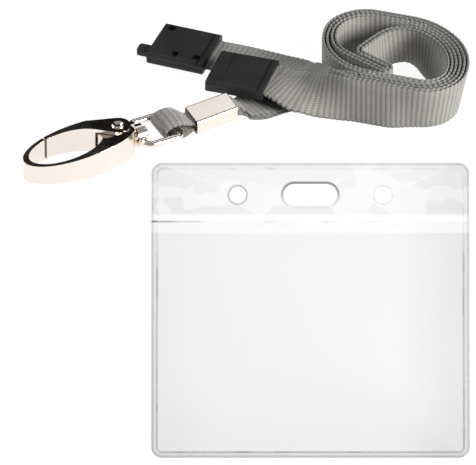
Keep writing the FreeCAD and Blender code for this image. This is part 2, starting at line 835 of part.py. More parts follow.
def rounded_loop(left, right, half, corner, height):
    middle = (left + right) / 2
    bend = corner * (1 - math.sqrt(1 / 2))
    edges = []

    def line(ax, ay, bx, by):
        edges.append(Part.LineSegment(Vector(ax, ay, height), Vector(bx, by, height)).toShape())

    def arc(ax, ay, mx, my, bx, by):
        points = [Vector(x, y, height) for x, y in ((ax, ay), (mx, my), (bx, by))]
        edges.append(Part.Arc(*points).toShape())

    line(middle, -half, right - corner, -half)
    arc(right - corner, -half, right - bend, -half + bend, right, -half + corner)
    line(right, -half + corner, right, half - corner)
    arc(right, half - corner, right - bend, half - bend, right - corner, half)
    line(right - corner, half, left + corner, half)
    arc(left + corner, half, left + bend, half - bend, left, half - corner)
    line(left, half - corner, left, -half + corner)
    arc(left, -half + corner, left + bend, -half + bend, left + corner, -half)
    line(left + corner, -half, middle, -half)
    return Part.Wire(edges)


PIVOT = ("pivot_place", "-pivot_offset")
HOOK_START = "collar_length / 2 + swivel_gap"
HOOK_CENTRE = f"{HOOK_START} + hook_length / 2"
GATE_LOW = "ear_thickness + ear_clearance"
GATE_HIGH = "hook_height - ear_thickness - ear_clearance"
INNER_HALF = "(hook_length - hub_length - hook_band) / 2"
INNER_CENTRE = f"{HOOK_START} + hub_length + {INNER_HALF}"
HOOK_SLOPE = f"atan((hook_height - nose_height) / ({HOOK_START} + hook_length - gate_root))"


def hook_oval(name, base, height):
    return oval_prism(name, (HOOK_CENTRE, "0"), "hook_length / 2", "hook_width / 2", base, height)


def inner_oval(name, base, height):
    return oval_prism(name, (INNER_CENTRE, "0"), INNER_HALF, "hook_width / 2 - hook_band", base, height)


def above_slope(name):
    """Everything above the top of the hook, which falls from the root of the gate to the nose."""
    item = block(
        name, ("gate_root", "-hook_width", "hook_height"), ("hook_length", "2 * hook_width", "hook_height"))
    item.Placement.Rotation = Rotation(Vector(0, 1, 0), value(HOOK_SLOPE))
    return bind(item, Placement__Rotation__Angle=HOOK_SLOPE)


def make_hook():
    body = cut(
        "hook_ring", hook_oval("hook_outer", "0", "hook_height"),
        inner_oval("hook_inner", "-overrun", "hook_height + 2 * overrun"))
    gate_room = block(
        "gate_room", ("gate_root - hub_gap", "-hook_width", "-overrun"),
        ("gate_reach + nose_gap - gate_root + hub_gap", "hook_width", "hook_height + 2 * overrun"))
    ear_rooms = [
        block(f"ear_room_{side}", ("-hook_length / 2", "-hook_width", base),
              ("hook_length / 2 + gate_root", "hook_width + ear_room", f"{GATE_LOW} + overrun"))
        for side, base in (("low", "-overrun"), ("high", GATE_HIGH))
    ]
    rivet_bore = drum("rivet_bore", PIVOT + ("-overrun",), "rivet_diameter / 2", "hook_height + 2 * overrun")
    spring_room = drum(
        "spring_room", PIVOT + (f"{GATE_HIGH} - spring_height - spring_clearance",),
        "spring_diameter / 2 + spring_clearance", "hook_height")
    forward = Vector(1, 0, 0)
    post_bore = drum(
        "post_bore", ("0", "0", "swivel_height"), "post_diameter / 2", f"{HOOK_START} + post_seat", forward)
    tools = [above_slope("hook_top"), gate_room] + ear_rooms + [rivet_bore, spring_room, post_bore]
    keep(cut("hook_body_cut", body, *tools), "hook_body", hook_place)

    shank_start = "-collar_length / 2 - swivel_gap"
    shank = drum(
        "post_shank", (shank_start, "0", "swivel_height"), "post_diameter / 2",
        f"{HOOK_START} + post_seat - spring_clearance - ({shank_start})", forward)
    head = drum(
        "post_head", (f"{shank_start} - post_head_length", "0", "swivel_height"),
        "post_head_diameter / 2", "post_head_length", forward)
    keep(fused("post_whole", shank, head), "swivel_post", hook_place)

    spring = drum(
        "spring_coil", PIVOT + (f"{GATE_HIGH} - spring_height",), "spring_diameter / 2", "spring_height")
    spring_bore = drum("spring_bore", PIVOT + ("0",), "spring_diameter / 2 - spring_wire", "hook_height")
    keep(cut("spring_ring", spring, spring_bore), "gate_spring", hook_place)


def make_gate():
    band = cut(
        "gate_ring", hook_oval("gate_outer", "0", "hook_height"),
        inner_oval("gate_inner", "-overrun", "hook_height + 2 * overrun"))
    span = block(
        "gate_span", ("gate_root", "-hook_width", "0"),
        ("gate_reach - gate_root", "hook_width", "hook_height"))
    arm = common("gate_arm", band, span)
    root = doc.addObject("Part::Feature", "gate_ears")
    root.Shape = ear_pair()
    bore = drum(
        "gate_bore", PIVOT + ("-overrun",),
        "rivet_diameter / 2 + running_clearance", "hook_height + 2 * overrun")
    whole = fused("gate_whole", arm, root)
    keep(cut("gate_cut", whole, above_slope("gate_top"), bore), "gate", hook_place)

    pin = drum("rivet_pin", PIVOT + ("0",), "rivet_diameter / 2", "hook_height")
    head = drum("rivet_head", PIVOT + ("hook_height",), "rivet_head_diameter / 2", "rivet_head_height")
    keep(fused("rivet_whole", pin, head), "gate_rivet", hook_place)


def ear_pair():
    """Two plates from the pivot's round end to the root of the gate's arm."""
    pivot = Vector(size("pivot_place"), -size("pivot_offset"), 0)
    radius = size("ear_radius")
    root = size("gate_root") + size("overrun")
    half_length = value("hook_length / 2")
    reach = (root - value(HOOK_CENTRE)) / half_length
    outer = -value("hook_width / 2") * math.sqrt(1 - reach * reach)
    inner_reach = (root - value(INNER_CENTRE)) / value(INNER_HALF)
    inner = -value("hook_width / 2 - hook_band") * math.sqrt(1 - inner_reach * inner_reach)
    far_low, far_high = Vector(root, outer, 0), Vector(root, inner, 0)

    def touch(point, side):
        away = point - pivot
        swing = math.degrees(math.acos(radius / away.Length)) * side
        toward = math.degrees(math.atan2(away.y, away.x))
        return pivot + direction(toward + swing) * radius

    low, high = touch(far_low, -1), touch(far_high, 1)
    back = pivot + (pivot - (far_low + far_high) * (1 / 2)).normalize() * radius
    outline = Part.Wire([
        Part.LineSegment(low, far_low).toShape(),
        Part.LineSegment(far_low, far_high).toShape(),
        Part.LineSegment(far_high, high).toShape(),
        Part.Arc(high, back, low).toShape(),
    ])
    plate = Part.Face(outline).extrude(Vector(0, 0, size("ear_thickness")))
    upper = plate.copy()
    upper.translate(Vector(0, 0, value("hook_height - ear_thickness")))
    return Part.makeCompound([plate, upper])


make_wallet()
make_coil()
make_tails()
make_strap_loop()
make_crimp()
make_socket()
make_plug()
make_eye()
make_hook()
make_gate()
doc.recompute()

faults = [item.Name for item in doc.Objects if set(item.State) & {"Invalid", "Error"}]
for label, item in pieces.items():
    if item.Shape.isNull() or not item.Shape.isValid() or not item.Shape.Solids:
        faults.append(label)
if faults:
    raise ValueError("not built: " + ", ".join(faults))
for label, item in pieces.items():
    item.Shape.exportStep(f"parts/{label}.step")
    box = item.Shape.BoundBox
    print("%-18s solids %d  volume %8.2f  x %.1f..%.1f  y %.1f..%.1f  z %.2f..%.2f" % (
        label, len(item.Shape.Solids), item.Shape.Volume,
        box.XMin, box.XMax, box.YMin, box.YMax, box.ZMin, box.ZMax))
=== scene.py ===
import bpy
import math
from mathutils import Matrix, Vector


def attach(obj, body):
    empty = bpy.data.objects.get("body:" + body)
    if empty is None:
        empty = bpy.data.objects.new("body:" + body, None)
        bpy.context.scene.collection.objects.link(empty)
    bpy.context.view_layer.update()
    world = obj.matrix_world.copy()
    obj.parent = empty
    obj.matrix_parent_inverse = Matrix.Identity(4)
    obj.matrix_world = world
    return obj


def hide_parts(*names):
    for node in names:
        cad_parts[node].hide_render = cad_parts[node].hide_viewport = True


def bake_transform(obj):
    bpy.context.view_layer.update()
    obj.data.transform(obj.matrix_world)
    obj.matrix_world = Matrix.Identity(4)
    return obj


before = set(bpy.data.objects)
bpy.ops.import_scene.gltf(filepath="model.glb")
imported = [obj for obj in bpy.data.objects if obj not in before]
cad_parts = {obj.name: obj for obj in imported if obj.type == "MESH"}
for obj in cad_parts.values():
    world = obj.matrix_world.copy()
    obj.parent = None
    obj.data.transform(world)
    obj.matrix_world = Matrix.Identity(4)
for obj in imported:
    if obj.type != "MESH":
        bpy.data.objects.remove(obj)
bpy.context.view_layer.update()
mm = 0.001
print("frame loaded:", len(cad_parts), "nodes")

# Where the lanyard lies on the floor and the hook on the lanyard, in millimetres and degrees
places = {
    "lanyard": (45.8, 78.15),
    "lanyardTurn": -17.0,
    "hook": (-67.66, -50.4),
    "hookTurn": 224.0,
}


def placed(point, turned):
    x, y = point
    return Matrix.Translation((x * mm, y * mm, 0)) @ Matrix.Rotation(math.radians(turned), 4, "Z")


lanyardPlace = placed(places["lanyard"], places["lanyardTurn"])
hookPlace = lanyardPlace @ placed(places["hook"], places["hookTurn"])

# Millimetres along the hook's own line; the cad values are the solid's ends
crimp = {
    "near": -32.4,
    "far": -18.2,
    "height": 2.55,
    "width": 6.6,
    "thickness": 1.6,
    "pitchShare": 1.36,
    "slope": 0.1,
    "lift": 0.6,
    "rise": 0.08,
    "cadNear": -31.5,
    "cadFar": -19.4,
    "bevel": 0.22,
}
# The gate's tip is made longer, and its end is painted dark: painted shade so the slit at the hook's nose
# reads as a dark line
gateTip = {
    "from": 26.0,
    "end": 28.0,
    "longer": 0.35,
    "shaded": 0.1,
}


def deselectAll():
    if bpy.context.object and bpy.context.object.mode != "OBJECT":
        bpy.ops.object.mode_set(mode="OBJECT")
    bpy.ops.object.select_all(action="DESELECT")


def makeActive(piece):
    deselectAll()
    piece.select_set(True)
    bpy.context.view_layer.objects.active = piece


def editAll(piece, *steps):
    makeActive(piece)
    bpy.ops.object.mode_set(mode="EDIT")
    bpy.ops.mesh.select_all(action="SELECT")
    for step in steps:
        step()
    bpy.ops.object.mode_set(mode="OBJECT")


def applyModifier(piece, kind, **settings):
    makeActive(piece)
    bpy.ops.object.modifier_add(type=kind)
    modifier = piece.modifiers[-1]
    for key, value in settings.items():
        setattr(modifier, key, value)
    bpy.ops.object.modifier_apply(modifier=modifier.name)


def smoothByAngle(piece, degrees):
    makeActive(piece)
    bpy.ops.object.shade_smooth_by_angle(angle=math.radians(degrees))


# Shader values that can be written as sums and products
class Wire:
    def __init__(self, finish, socket):
        self.finish = finish
        self.socket = socket

    def maths(self, operation, first, second=0.0):
        return self.finish.node("ShaderNodeMath", {"operation": operation}, {0: first, 1: second})

    def __add__(self, other):
        return self.maths("ADD", self, other)

    __radd__ = __add__

    def __mul__(self, other):
        return self.maths("MULTIPLY", self, other)

    __rmul__ = __mul__

    def __sub__(self, other):
        return self.maths("SUBTRACT", self, other)

    def __rsub__(self, other):
        return self.maths("SUBTRACT", other, self)

    def __pow__(self, other):
        return self.maths("POWER", self, other)

    def size(self):
        return self.maths("ABSOLUTE", self)

    def larger(self, other):
        return self.maths("MAXIMUM", self, other)

    def smaller(self, other):
        return self.maths("MINIMUM", self, other)

    def whole(self):
        return self.maths("FLOOR", self)

    def part(self):
        return self.maths("FRACT", self)

    def wave(self):
        return self.maths("COSINE", self * (2 * math.pi)) * 0.5 + 0.5

    def bounded(self, low, high):
        return self.finish.node(
            "ShaderNodeMapRange", {"interpolation_type": "SMOOTHSTEP"},
            {"Value": self, "From Min": low, "From Max": high})

    def band(self, middle, reach):
        return 1 - (self - middle).size().bounded(reach * 0.4, reach)


class Finish:
    def __init__(self, owner, shader, **fixed):
        self.material = owner
        owner.use_nodes = True
        self.tree = owner.node_tree
        self.shader = self.tree.nodes[shader]
        self.set(fixed)

    def set(self, values):
        for key, value in values.items():
            self.link(self.shader.inputs[key], value)

    def link(self, socket, value):
        if isinstance(value, Wire):
            self.tree.links.new(value.socket, socket)
        else:
            socket.default_value = value

    def node(self, kind, settings=None, values=None, output=0):
        made = self.tree.nodes.new(kind)
        for key, value in (settings or {}).items():
            setattr(made, key, value)
        for key, value in (values or {}).items():
            self.link(made.inputs[key], value)
        return Wire(self, made.outputs[output])

    def place(self, output="Object"):
        return self.node("ShaderNodeTexCoord", output=output)

    def noise(self, point, scale, detail=3.0):
        return self.node(
            "ShaderNodeTexNoise", {}, {"Vector": point, "Scale": scale, "Detail": detail}, "Fac")

    def mix(self, share, first, second):
        return self.node(
            "ShaderNodeMix", {"data_type": "RGBA"}, {"Factor": share, 6: first, 7: second}, output=2)

    def bump(self, height, strength, distance):
        return self.node(
            "ShaderNodeBump", {}, {"Height": height, "Strength": strength, "Distance": distance})

    # A point in millimetres, in the frame of the piece that lies at this place
    def local(self, place, turn):
        return self.node(
            "ShaderNodeMapping", {"vector_type": "TEXTURE"},
            {"Vector": self.place(), "Location": place, "Rotation": turn, "Scale": (mm, mm, mm)})

    def parts(self, vector):
        made = self.tree.nodes.new("ShaderNodeSeparateXYZ")
        self.link(made.inputs[0], vector)
        return [Wire(self, socket) for socket in made.outputs]


def surface(name, **fixed):
    return Finish(bpy.data.materials.new(name), "Principled BSDF", **fixed)


# The face runs from painted shade in the grooves between ribs to the yarn's tone on the ribs, with a brick
# pattern of threads and random fuzz; the edges are darker, with painted shade in the gaps between the edge
# beads
def makeWebbingFinish():
    look = {
        "groove": (0.069, 0.0665, 0.06, 1),
        "thread": (0.176, 0.169, 0.154, 1),
        "gap": (0.04, 0.039, 0.036, 1),
        "selvage": (0.095, 0.093, 0.087, 1),
        "threadsPerMm": 1.1,
        "ribPower": 0.4,
        "threadShare": 0.65,
        "fuzzShare": 0.8,
        "fuzzScale": 1100.0,
        "faceReach": (7.6, 8.0),
        "sideRibs": (0.25, 0.75),
        "bumpStrength": 0.45,
        "bumpDepth": 0.0002,
    }
    half = webbing["halfGirth"]
    finish = surface("greyWebbing", **{"Roughness": 0.85, "Sheen Weight": 0.2, "Sheen Roughness": 0.4})
    ribs, girth, _ = finish.parts(finish.place("UV"))
    rib = ribs.wave()
    thread = (girth * look["threadsPerMm"] + ribs.whole() * 0.5).wave()
    fuzz = finish.noise(finish.place(), look["fuzzScale"], 2.0)
    threadLight = thread * look["threadShare"] + (1 - look["threadShare"])
    fuzzLight = fuzz * look["fuzzShare"] + (1 - look["fuzzShare"] / 2)
    grooveShadeAndWeave = rib ** look["ribPower"] * threadLight * fuzzLight
    fromMiddle = ((girth * (1 / half)).part() - 0.5).size() * half
    face = finish.mix(grooveShadeAndWeave, look["groove"], look["thread"])
    side = finish.mix(rib.bounded(*look["sideRibs"]), look["gap"], look["selvage"])
    relief = rib * 0.35 + thread * 0.4 + fuzz * 0.25
    finish.set({
        "Base Color": finish.mix(fromMiddle.bounded(*look["faceReach"]), face, side),
        "Normal": finish.bump(relief, look["bumpStrength"], look["bumpDepth"]),
    })
    return finish.material


def makePlasticFinish():
    look = {
        "deep": (0.004, 0.004, 0.0045, 1),
        "blotchy": (0.01, 0.01, 0.0105, 1),
        "grainScale": 2600.0,
        "cloudScale": 160.0,
        "roughness": 0.36,
        "roughnessSpread": 0.14,
        "bumpStrength": 0.15,
        "bumpDepth": 0.00005,
    }
    finish = surface("blackPlastic", **{"Specular IOR Level": 0.35})
    point = finish.place()
    grain = finish.noise(point, look["grainScale"], 2.0)
    cloud = finish.noise(point, look["cloudScale"])
    finish.set({
        "Base Color": finish.mix(cloud, look["deep"], look["blotchy"]),
        "Roughness": cloud * look["roughnessSpread"] + look["roughness"],
        "Normal": finish.bump(grain, look["bumpStrength"], look["bumpDepth"]),
    })
    return finish.material


# The metal is painted dark at the mouth, which is in millimetres along the hook's line, and past it; this
# is painted shade for a shadowed mouth
def makeNickelFinish(name, polish, mouth=0.0):
    look = {
        "bright": (0.91, 0.85, 0.78, 1),
        "warm": (0.86, 0.79, 0.71, 1),
        # inside is the painted shade colour for that shadowed mouth
        "inside": (0.06, 0.05, 0.042, 1),
        "paintedShadeFrom": 0.25,
        "paintedShadeTo": 0.15,
        "cloudScale": 130.0,
        "roughnessSpread": 0.08,
        "bumpStrength": 0.05,
        "bumpDepth": 0.0002,
    }
    finish = surface(name, **{"Metallic": 1.0})
    cloud = finish.noise(finish.place(), look["cloudScale"])
    colour = finish.mix(cloud, look["bright"], look["warm"])
    if mouth:
        along, _, _ = finish.parts(finish.local(hookPlace.to_translation(), hookPlace.to_euler()))
        paintedShadeMask = along.bounded(mouth - look["paintedShadeFrom"], mouth - look["paintedShadeTo"])
        colour = finish.mix(paintedShadeMask, colour, look["inside"])
    finish.set({
        "Base Color": colour,
        "Roughness": cloud * look["roughnessSpread"] + polish,
        "Normal": finish.bump(cloud, look["bumpStrength"], look["bumpDepth"]),
    })
    return finish.material


def makeSteelFinish():
    look = {"dull": (0.45, 0.44, 0.42, 1), "bright": (0.6, 0.59, 0.57, 1), "cloudScale": 800.0}
    finish = surface("springSteel", **{"Metallic": 1.0})
    cloud = finish.noise(finish.place(), look["cloudScale"], 2.0)
    finish.set({
        "Base Color": finish.mix(cloud, look["dull"], look["bright"]),
        "Roughness": cloud * 0.2 + 0.25,
    })
    return finish.material


# The foot is a place in metres; lengths are millimetres across from the middle and up from the bottom edge
walletSheet = {
    "foot": (0.0185, -0.10915, 0.0),
    "turn": (math.radians(48.0), 0.0, 0.0),
    "halfWide": 47.0,
    "halfHigh": 43.75,
    "corner": 3.2,
    "punched": 78.0,
    "slotHalf": 4.7,
    "slotRadius": 3.3,
    "holeOffset": 21.5,
    "holeRadius": 2.5,
    "mouth": 70.1,
}


# A nearly clear sheet with fine edge lines of painted shade, blurred patches, and a haze with painted shade
# that darkens it toward the sides, the right and the bottom
def makeVinylFinish(name, haze, tone, lines=0.0, patches=0.0, shade=0.0):
    look = {
        "line": (0.06, 0.06, 0.061, 1),
        "lineHaze": 0.3,
        "broadScale": 0.075,
        "cloudScale": 0.12,
        "blotchy": (0.5, 0.68),
        "lowPart": (55.0, 72.0),
        "outerRim": (0.25, 0.6),
        "innerRim": (1.75, 0.4),
        "slotEdge": (0.3, 0.55),
        "slotTop": (-4.0, 3.5),
        "holeEdge": (0.2, 0.45),
        "holeTop": (-12.0, 18.0),
        "mouthReach": 0.4,
        "mouthFade": (-42.0, -36.0),
        "patchEdge": (3.2, 4.2),
        "patchWander": 34.0,
        "patchShare": 0.62,
        "sideDusk": (0.0, 24.0),
        "rightDusk": (-20.0, 20.0),
        "lowDusk": (0.0, 30.0),
        "throatFoot": (66.6, 67.0),
        "throatTop": (72.0, 72.6),
        "throatShare": 0.5,
        "bumpStrength": 0.3,
        "bumpDepth": 0.002,
    }
    sheet = walletSheet
    finish = surface(name, **{"Specular IOR Level": 0.4, "IOR": 1.53})
    onSheet = finish.local(sheet["foot"], sheet["turn"])
    across, up, _ = finish.parts(onSheet)
    broad = finish.noise(onSheet, look["broadScale"], 2.0)
    cloud = finish.noise(onSheet, look["cloudScale"])
    sideX = across.size() - (sheet["halfWide"] - sheet["corner"])
    sideY = (up - sheet["halfHigh"]).size() - (sheet["halfHigh"] - sheet["corner"])
    beyond = (sideX.larger(0.0) ** 2.0 + sideY.larger(0.0) ** 2.0) ** 0.5
    depth = sheet["corner"] - beyond - sideX.larger(sideY).smaller(0.0)
    level = up - sheet["punched"]
    slotSide = (across.size() - sheet["slotHalf"]).larger(0.0)
    slot = (slotSide ** 2.0 + level * level) ** 0.5 - sheet["slotRadius"]
    aside = across.size() - sheet["holeOffset"]
    hole = (aside * aside + level * level) ** 0.5 - sheet["holeRadius"]
    low = 1 - up.bounded(*look["lowPart"])
    blotchy = cloud.bounded(*look["blotchy"])
    # The lines are painted shade standing in for the dark refraction along the rims, the slot, the holes
    # and the mouth; the slot's top and the holes' upper left are painted darker
    outerLine = depth.band(*look["outerRim"]) * 0.25
    innerLine = depth.band(*look["innerRim"]) * (blotchy * 0.3 + low * 0.4 + 0.06)
    slotLine = slot.band(*look["slotEdge"]) * (level.bounded(*look["slotTop"]) * 1.3 + 0.1)
    holeLit = (level - across * 0.6).bounded(*look["holeTop"])
    holeLine = hole.band(*look["holeEdge"]) * (holeLit * 0.6 + 0.15)
    mouthLeft = 1 - across.bounded(*look["mouthFade"])
    mouthLine = up.band(sheet["mouth"], look["mouthReach"]) * (mouthLeft + blotchy * 0.5)
    line = (outerLine + innerLine + slotLine + holeLine + mouthLine) * lines
    wander = (level + (broad - 0.5) * look["patchWander"]).size()
    patch = (1 - wander.bounded(*look["patchEdge"])) * look["patchShare"] * patches
    # Painted shade: the haze is darkened toward the sides, most on the right, and toward the bottom
    fromSide = (sheet["halfWide"] - across.size()).bounded(*look["sideDusk"])
    sideDusk = (1 - fromSide) * (across.bounded(*look["rightDusk"]) * 1.6 + 0.9)
    lowDusk = 1 - up.bounded(*look["lowDusk"])
    throat = up.bounded(*look["throatFoot"]) * (1 - up.bounded(*look["throatTop"])) * look["throatShare"]
    hazeAndPaintedShade = haze * (1 - patch) + (sideDusk + lowDusk) * shade
    finish.set({
        "Base Color": finish.mix(line.smaller(1.0), tone, look["line"]),
        "Roughness": cloud * 0.1 + 0.15,
        "Alpha": hazeAndPaintedShade * (1 - throat) + line * look["lineHaze"],
        "Normal": finish.bump(broad, look["bumpStrength"], look["bumpDepth"]),
    })
    return finish.material


# Millimetres; half the girth is one face and one edge
webbing = {
    "width": 16.0,
    "thickness": 0.8,
    "pitch": 1.25,
    "halfGirth": 16.8,
    "ribPitch": 1.6,
    "ribRise": 0.02,
    "edgeRise": 0.12,
    "ringsPerRib": 4,
    "edgeShare": 0.95,
    "stepsPerSpan": 16,
    "smooth": 50.0,
}
webbingFinish = makeWebbingFinish()
plasticFinish = makePlasticFinish()
nickelFinish = makeNickelFinish("brightNickel", 0.06)
# The crimp's far end is painted dark: painted shade for its shadowed mouth
satinFinish = makeNickelFinish("satinNickel", 0.12, crimp["far"])
gateFinish = makeNickelFinish("gateNickel", 0.06, gateTip["end"] + gateTip["longer"] - gateTip["shaded"])
steelFinish = makeSteelFinish()
vinylTone = (0.06, 0.06, 0.0605, 1)
backFinish = makeVinylFinish("clearVinylBack", 0.048, vinylTone, lines=1.0, shade=0.015)
windowFinish = makeVinylFinish("clearVinylWindow", 0.048, vinylTone, shade=0.015)
headerFinish = makeVinylFinish("clearVinylHeader", 0.075, vinylTone, lines=0.5, patches=1.0, shade=0.015)
lipFinish = makeVinylFinish("clearVinylLip", 0.02, vinylTone)
rimFinish = makeVinylFinish("clearVinylRim", 0.03, vinylTone, lines=0.6)
print("finishes made")


def dress(piece, body, slot, material, *nodes):
    piece.data.materials.clear()
    piece.data.materials.append(material)
    if body:
        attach(piece, body)
    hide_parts(*nodes)


def paintNode(name, material):
    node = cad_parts[name]
    node.data.materials.clear()
    node.data.materials.append(material)


# One face of the strap from edge to edge: share of the half width, share of the half thickness
faceShares = [(-0.985, 0.7), (-0.94, 1), (-0.6, 1), (-0.2, 1), (0.2, 1), (0.6, 1), (0.94, 1), (0.985, 0.7)]
sectionShares = faceShares + [(1, 0)] + [(-a, -b) for a, b in faceShares] + [(-1, 0)]


def heading(degrees):
    return Vector((math.cos(math.radians(degrees)), math.sin(math.radians(degrees)), 0))


def eased(value, low, high):
    share = min(1.0, max(0.0, (value - low) / (high - low)))
    return share * share * (3 - 2 * share)


def spanShape(values, index, share):
    a, b, c, d = (values[max(0, min(len(values) - 1, index + k))] for k in (-1, 0, 1, 2))
    return b + (c - a) * (0.5 * share) + (a * 2 - b * 5 + c * 4 - d) * (0.5 * share ** 2) + (
        (b - c) * 3 + d - a) * (0.5 * share ** 3)


# Stations hold a point, a lean, a width, a thickness and a share of the layer pitch
def layFrames(stations, lift=0.0):
    points = [Vector(station[0]) for station in stations]
    rest = [Vector(station[1:5]) for station in stations]
    steps = webbing["stepsPerSpan"]
    dense = []
    for index in range(len(points) - 1):
        for step in range(steps + (index == len(points) - 2)):
            dense.append((spanShape(points, index, step / steps), spanShape(rest, index, step / steps)))
    frames = []
    for k, (point, (lean, width, thickness, pitch)) in enumerate(dense):
        along = dense[min(k + 1, len(dense) - 1)][0] - dense[max(k - 1, 0)][0]
        flat = Vector((along.x, along.y, 0)).normalized()
        beside = Vector((flat.y, -flat.x, 0))
        across = Vector((0, 0, math.cos(math.radians(lean)))) + beside * math.sin(math.radians(lean))
        outward = across.cross(flat)
        frames.append((point + outward * (lift * pitch), across, outward, width, thickness, 0.0))
    return frames


def girthMarks():
    marks = [0.0]
    ring = sectionShares + sectionShares[:1]
    for (a, b), (c, d) in zip(ring, ring[1:]):
        marks.append(marks[-1] + math.hypot((c - a) * webbing["width"], (d - b) * webbing["thickness"]) / 2)
    return [mark * 2 * webbing["halfGirth"] / marks[-1] for mark in marks]


def weaveStrap(name, frames, place):
    travel = [0.0]
    for first, second in zip(frames, frames[1:]):
        travel.append(travel[-1] + (second[0] - first[0]).length)
    length = travel[-1]
    rings = max(8, round(length / webbing["ribPitch"] * webbing["ringsPerRib"]))
    around = len(sectionShares)
    marks = girthMarks()
    deselectAll()
    bpy.ops.mesh.primitive_grid_add(x_subdivisions=rings, y_subdivisions=around, size=1)
    piece = bpy.context.object
    piece.name = name
    piece.data.name = name
    piece.data.uv_layers[0].name = "weave"
    for corner in piece.data.uv_layers[0].data:
        corner.uv = (corner.uv[0] * length / webbing["ribPitch"], marks[round(corner.uv[1] * around)])
    ringFrames = []
    at = 0
    for ring in range(rings + 1):
        s = length * ring / rings
        while at < len(travel) - 2 and travel[at + 1] < s:
            at += 1
        share = min(1.0, (s - travel[at]) / max(1e-9, travel[at + 1] - travel[at]))
        low, high = frames[at], frames[at + 1]
        ringFrames.append([low[k] + (high[k] - low[k]) * share for k in range(6)] + [s])
    for vertex in piece.data.vertices:
        ring = round((vertex.co.x + 0.5) * rings)
        side = round((vertex.co.y + 0.5) * around) % around
        centre, across, outward, width, thickness, arch, s = ringFrames[ring]
        swell = math.cos(2 * math.pi * s / webbing["ribPitch"])
        a, b = sectionShares[side]
        scallop = webbing["edgeRise"] * (swell - 1) * (abs(a) > webbing["edgeShare"])
        reach = width / 2 + scallop * width / webbing["width"]
        rise = b * (thickness / 2 + webbing["ribRise"] * (swell - 1)) + arch * (1 - a * a)
        point = centre + across.normalized() * (a * reach) + outward.normalized() * rise
        vertex.co = place @ (point * mm)
    editAll(
        piece,
        lambda: bpy.ops.mesh.remove_doubles(threshold=1e-6),
        lambda: bpy.ops.mesh.fill_holes(sides=0),
        lambda: bpy.ops.mesh.select_all(action="SELECT"),
        lambda: bpy.ops.mesh.normals_make_consistent(inside=False))
    smoothByAngle(piece, webbing["smooth"])
    print(name, "length %.0f mm" % length)
    return piece


coil = {
    "depth": 39.0,
    "tight": 12.5,
    "backRun": 10.3,
    "exitRun": 19.0,
    "crownStart": 74.0,
    "crownTurn": 84.0,
    "crownRadius": 10.0,
    "bendRadius": 2.4,
    "foldSlant": 22.0,
    "foldRun": 12.5,
    "tipRadius": 1.6,
    "returnRadius": 13.0,
    "rightLean": 3.2,
    "backLean": 1.8,
    "crownLean": 2.4,
    "rightSpan": (2.0, 15.0),
    "middleFrom": (-18.0, -9.0),
    "middleTo": (-2.0, 7.0),
    "rearSpan": (2.0, 9.0),
    "crownEnd": (13.0, 17.0),
    "degreesPerStep": 4,
    "legLead": 3.0,
    "tailLead": 4.0,
}


class Pen:
    def __init__(self, point, turned):
        self.point = point
        self.turned = turned
        self.runs = []

    def straight(self, length):
        self.runs.append(("line", self.point, self.turned, length))
        self.point = self.point + heading(self.turned) * length

    def turn(self, radius, angle):
        side = math.copysign(90, angle)
        centre = self.point + heading(self.turned + side) * radius
        self.runs.append(("arc", centre, radius, self.turned - side, angle))
        self.turned += angle
        self.point = centre + heading(self.turned - side) * radius


def drawCoil():
    pitch = webbing["pitch"]
    half = (coil["depth"] - webbing["thickness"] - pitch) / 2
    tight = coil["tight"]
    wide = 2 * half - tight
    back = coil["backRun"]
    frontX = (wide + back - tight) / 2
    pen = Pen(Vector((frontX - coil["exitRun"], -half, 0)), 0.0)
    pen.straight(coil["exitRun"])
    pen.turn(tight, 90)
    pen.turn(wide, 90)
    pen.straight(back)
    pen.turn(tight, 90)
    pen.turn(wide - 4 * pitch, 90)
    pen.straight(back + 4 * pitch)
    pen.turn(tight - 4 * pitch, 90)
    pen.turn(wide - 4 * pitch, coil["crownStart"])
    pen.turn(coil["crownRadius"], coil["crownTurn"])
    # The crown's leg bends into the fold, which lies along the line that leads back to the left
    backTurn = 90 - coil["foldSlant"]
    homing = Pen(Vector((frontX - wide - back + 2 * pitch, half - tight, 0)), 270.0)
    homing.turn(coil["returnRadius"], backTurn)
    ahead, beside = heading(pen.turned), heading(homing.turned)
    apart = homing.point + heading(homing.turned + 90) * (2 * coil["tipRadius"]) - pen.point
    spread = ahead.x * beside.y - ahead.y * beside.x
    leg = (apart.x * beside.y - apart.y * beside.x) / spread
    past = (apart.x * ahead.y - apart.y * ahead.x) / spread
    bend = (homing.turned - pen.turned) % 360
    tangent = coil["bendRadius"] * math.tan(math.radians(bend / 2))
    pen.straight(leg - tangent)
    pen.turn(coil["bendRadius"], bend)
    pen.straight(coil["foldRun"] - past - tangent)
    pen.turn(coil["tipRadius"], -180)
    pen.straight(coil["foldRun"])
    pen.turn(coil["returnRadius"], -backTurn)
    pen.turn(tight - 2 * pitch, -90)
    pen.straight(back)
    pen.turn(wide - 2 * pitch, -90)
    pen.turn(tight - 2 * pitch, -90)
    pen.straight(coil["exitRun"])
    return pen


# How far the foot of the standing strap lies from the point below its top edge
def footShift(point):
    right = coil["rightLean"] * eased(point.x, *coil["rightSpan"])
    inward = Vector((-point.x, -point.y, 0)).normalized() * right
    middle = eased(point.x, *coil["middleFrom"]) * (1 - eased(point.x, *coil["middleTo"]))
    behind = eased(point.y, *coil["rearSpan"])
    rear = coil["backLean"] * behind
    crown = coil["crownLean"] * behind * (1 - eased(point.y, *coil["crownEnd"]))
    return inward + Vector((0, (rear + crown) * middle, 0))


